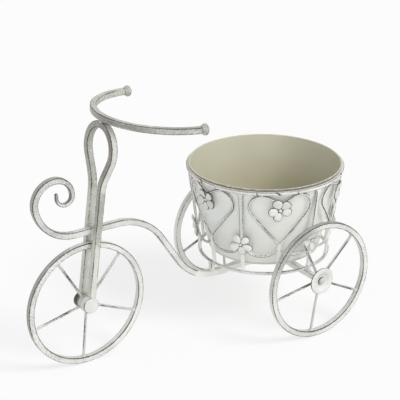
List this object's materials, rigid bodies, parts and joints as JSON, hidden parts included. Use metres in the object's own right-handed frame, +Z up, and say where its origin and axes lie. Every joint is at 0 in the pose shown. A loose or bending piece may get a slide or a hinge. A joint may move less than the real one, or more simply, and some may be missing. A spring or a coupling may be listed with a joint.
{
  "type": "tricycle planter",
  "caption": "Round pot in a wire basket of hearts and flowers, carried by a small painted iron tricycle with a scroll front, a loop fork and a curved handlebar.",
  "frame": {"origin": "on the ground, under the middle of the object's outline seen from above", "axes": "+X towards the rear of the tricycle, along its length; +Y to the rider's right; +Z up"},
  "size_m": [0.4074, 0.2074, 0.2862],
  "materials": {
    "distressed_paint": "antique white paint, matt, rubbed through to dark metal along its edges",
    "pot_paint": "satin off-white outside, beige inside",
    "pin_steel": "dull worn steel"
  },
  "bodies": {
    "frame": {"fork": "distressed_paint", "fork_boss_left": "distressed_paint", "fork_boss_right": "distressed_paint", "fork_weld_left": "distressed_paint", "fork_weld_right": "distressed_paint", "front_axle_pin": "pin_steel", "handlebar": "distressed_paint", "handlebar_knob_left": "distressed_paint", "handlebar_knob_right": "distressed_paint", "main_bar": "distressed_paint", "rear_axle_bar": "distressed_paint", "rear_axle_pin_left": "distressed_paint", "rear_axle_pin_right": "distressed_paint", "axle_saddle_left": "distressed_paint", "axle_saddle_right": "distressed_paint", "ring_post": "distressed_paint", "basket_base_ring": "distressed_paint", "basket_top_ring": "distressed_paint", "basket_strap_1": "distressed_paint", "basket_strap_2": "distressed_paint", "basket_strap_3": "distressed_paint", "basket_strap_4": "distressed_paint", "basket_strap_5": "distressed_paint", "basket_strap_6": "distressed_paint", "basket_heart_1": "distressed_paint", "basket_heart_2": "distressed_paint", "basket_heart_3": "distressed_paint", "basket_heart_4": "distressed_paint", "basket_heart_5": "distressed_paint", "basket_heart_6": "distressed_paint", "basket_scallop_1": "distressed_paint", "basket_scallop_2": "distressed_paint", "basket_scallop_3": "distressed_paint", "basket_scallop_4": "distressed_paint", "basket_scallop_5": "distressed_paint", "basket_scallop_6": "distressed_paint", "heart_flower_1": "distressed_paint", "heart_flower_2": "distressed_paint", "heart_flower_3": "distressed_paint", "heart_flower_4": "distressed_paint", "heart_flower_5": "distressed_paint", "heart_flower_6": "distressed_paint", "strap_flower_1": "distressed_paint", "strap_flower_2": "distressed_paint", "strap_flower_3": "distressed_paint", "strap_flower_4": "distressed_paint", "strap_flower_5": "distressed_paint", "strap_flower_6": "distressed_paint"},
    "front_wheel": {"front_wheel_rim": "distressed_paint", "front_wheel_spoked_hub": "distressed_paint"},
    "rear_wheel_left": {"rear_wheel_rim_left": "distressed_paint", "rear_wheel_spoked_hub_left": "distressed_paint", "rear_hub_disc_left": "distressed_paint"},
    "rear_wheel_right": {"rear_wheel_rim_right": "distressed_paint", "rear_wheel_spoked_hub_right": "distressed_paint", "rear_hub_disc_right": "distressed_paint"},
    "pot": {"pot": "pot_paint"}
  },
  "joints": [
    {"name": "front_wheel_spin", "type": "hinge", "parent": "frame", "child": "front_wheel", "pos_m": [-0.1313, 0, 0.0723], "axis": [0, 1, 0], "continuous": true},
    {"name": "rear_wheel_left_spin", "type": "hinge", "parent": "frame", "child": "rear_wheel_left", "pos_m": [0.1193, -0.0971, 0.0701], "axis": [0, 1, 0], "continuous": true},
    {"name": "rear_wheel_right_spin", "type": "hinge", "parent": "frame", "child": "rear_wheel_right", "pos_m": [0.1193, 0.0971, 0.0701], "axis": [0, 1, 0], "continuous": true},
    {"name": "pot_lift", "type": "slide", "parent": "frame", "child": "pot", "axis": [0, 0, 1], "range_m": [0, 0.13]}
  ]
}
